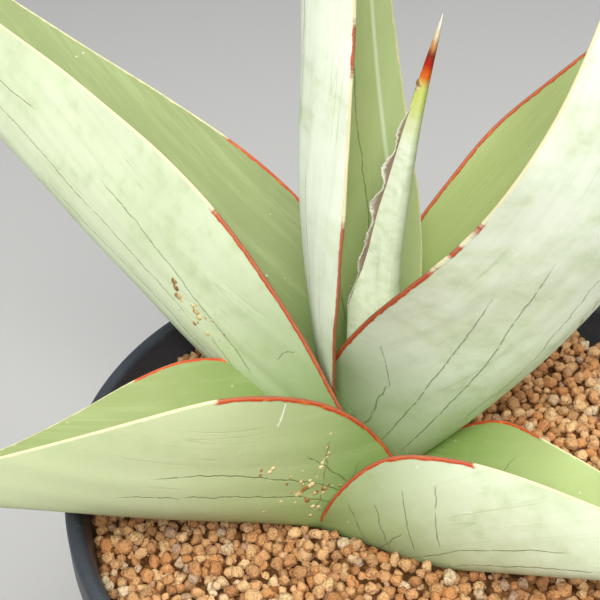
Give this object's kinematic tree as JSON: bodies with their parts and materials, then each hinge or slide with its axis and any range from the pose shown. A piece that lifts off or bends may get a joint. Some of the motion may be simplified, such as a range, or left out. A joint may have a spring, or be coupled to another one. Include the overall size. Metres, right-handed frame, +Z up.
{
  "type": "potted snake plant",
  "caption": "Broad-leaved snake plant rosette with thick channelled leaves in a round black pot of clay granules.",
  "frame": {"origin": "centre of the pot's flat underside", "axes": "+Z up; +X to the right and -Y towards the front of the plant"},
  "size_m": [0.2782, 0.177, 0.3459],
  "materials": {
    "pot": "satin moulded black plastic with a fine grain",
    "soil": "dry matt baked-clay granules",
    "rhizome": "dull fibrous root skin",
    "leaf": "waxy grey-green skin with a powdery bloom and red-brown margins"
  },
  "bodies": {
    "root": {"pot": "pot", "soil": "soil", "rhizome": "rhizome", "leaf_lower_right": "leaf", "leaf_lower_left": "leaf", "leaf_upper_left": "leaf", "leaf_right": "leaf", "leaf_right_back": "leaf", "leaf_upright": "leaf", "leaf_spear": "leaf"}
  },
  "joints": []
}
